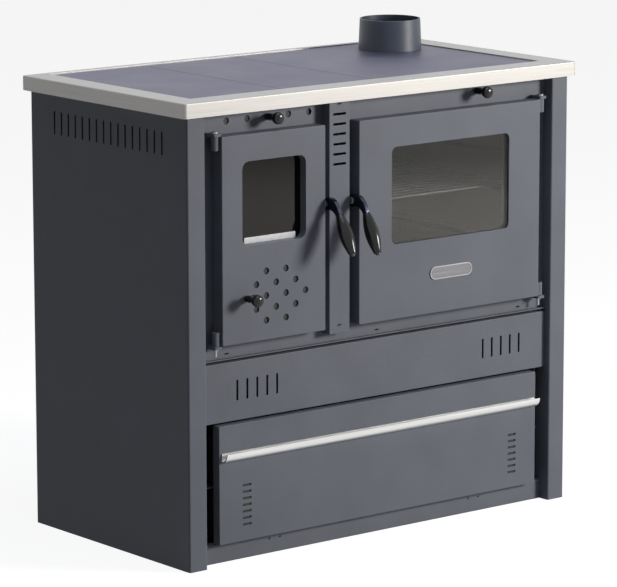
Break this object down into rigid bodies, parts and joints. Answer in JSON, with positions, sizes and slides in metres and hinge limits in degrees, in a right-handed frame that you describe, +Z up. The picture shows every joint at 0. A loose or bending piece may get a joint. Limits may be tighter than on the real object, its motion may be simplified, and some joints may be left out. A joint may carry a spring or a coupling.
{
  "type": "wood-burning range cooker",
  "caption": "Free-standing wood-burning cooker with a glazed fire door, a glazed oven door, a steel hob with a flue collar and a wood drawer under a vented band.",
  "frame": {"origin": "on the floor, under the middle of the cabinet, midway between the posts' front and the rear folds", "axes": "+X to the right of someone facing the cooker, +Y to its back, +Z up"},
  "size_m": [0.93, 0.5718, 0.908],
  "materials": {
    "paint": "satin anthracite powder coat",
    "stainless": "brushed, fine grain along the width",
    "hob_steel": "ground steel plate, dulled",
    "iron": "matt black",
    "flue_paint": "matt heat-proof black",
    "zinc": "zinc-plated",
    "polished": "polished dark steel",
    "black_gloss": "glossy black bakelite",
    "fire_glass": "clear heat-proof glass, smoked",
    "oven_glass": "clear oven glass",
    "rope": "woven glass-fibre rope",
    "fireclay": "matt fireclay",
    "rail_metal": "brushed",
    "enamel": "glossy dark oven enamel"
  },
  "bodies": {
    "cooker": {"side_panel_left": "paint", "side_panel_right": "paint", "back_panel": "paint", "base_tray": "paint", "plinth": "paint", "stove_body": "iron", "compartment_ceiling": "zinc", "front_plate": "paint", "middle_strip": "paint", "band_panel": "paint", "fire_keeper_peg": "zinc", "oven_keeper_peg": "zinc", "hob_frame": "stainless", "hob_underframe": "iron", "hob_plate_left": "hob_steel", "hob_plate_middle": "hob_steel", "hob_plate_right": "hob_steel", "flue_collar": "flue_paint", "firebox_frame": "iron", "grate": "iron", "firebrick_left": "fireclay", "firebrick_right": "fireclay", "firebrick_back": "fireclay", "log_guard": "iron", "ash_pan": "zinc", "oven_box": "enamel", "oven_back": "enamel", "oven_rack": "stainless", "smoke_divider": "iron", "fire_hinge_pin_top": "zinc", "fire_hinge_pin_bottom": "zinc", "oven_hinge_pin_top": "zinc", "oven_hinge_pin_bottom": "zinc", "drawer_runner_left": "zinc", "drawer_runner_right": "zinc"},
    "fire_door": {"fire_door_skin": "paint", "fire_door_liner": "iron", "fire_door_glass": "fire_glass", "fire_glass_ledge": "zinc", "fire_door_seal": "rope", "fire_latch_pivot": "zinc"},
    "fire_latch": {"fire_latch_lever": "polished", "fire_latch_grip": "black_gloss"},
    "primary_air": {"primary_air_slide": "zinc", "primary_air_knob": "black_gloss"},
    "oven_door": {"oven_door_skin": "paint", "oven_door_liner": "zinc", "oven_door_glass": "oven_glass", "oven_door_seal": "rope", "oven_door_badge": "stainless", "oven_latch_pivot": "zinc"},
    "oven_latch": {"oven_latch_lever": "polished", "oven_latch_grip": "black_gloss"},
    "secondary_air": {"secondary_air_slide": "zinc", "secondary_air_knob": "black_gloss"},
    "damper": {"flue_damper": "iron", "flue_damper_knob": "black_gloss"},
    "drawer": {"drawer_front": "paint", "drawer_box": "zinc", "drawer_rail_handle": "rail_metal"}
  },
  "joints": [
    {"name": "fire_door_hinge", "type": "hinge", "parent": "cooker", "child": "fire_door", "pos_m": [-0.388, -0.2355, 0.595], "axis": [0, 0, -1], "range_deg": [0, 110]},
    {"name": "oven_door_hinge", "type": "hinge", "parent": "cooker", "child": "oven_door", "pos_m": [0.3865, -0.2355, 0.595], "axis": [0, 0, 1], "range_deg": [0, 110]},
    {"name": "fire_latch_pivot", "type": "hinge", "parent": "fire_door", "child": "fire_latch", "pos_m": [-0.138, -0.238, 0.638], "axis": [-1, 0, 0], "range_deg": [0, 40]},
    {"name": "oven_latch_pivot", "type": "hinge", "parent": "oven_door", "child": "oven_latch", "pos_m": [-0.074, -0.238, 0.638], "axis": [-1, 0, 0], "range_deg": [0, 40]},
    {"name": "primary_air_slide", "type": "slide", "parent": "fire_door", "child": "primary_air", "axis": [1, 0, 0], "range_m": [0, 0.0225]},
    {"name": "secondary_air_slide", "type": "slide", "parent": "cooker", "child": "secondary_air", "axis": [1, 0, 0], "range_m": [0, 0.023]},
    {"name": "flue_damper_pull", "type": "slide", "parent": "cooker", "child": "damper", "axis": [0, -1, 0], "range_m": [0, 0.08]},
    {"name": "drawer_slide", "type": "slide", "parent": "cooker", "child": "drawer", "axis": [0, -1, 0], "range_m": [0, 0.3]}
  ]
}
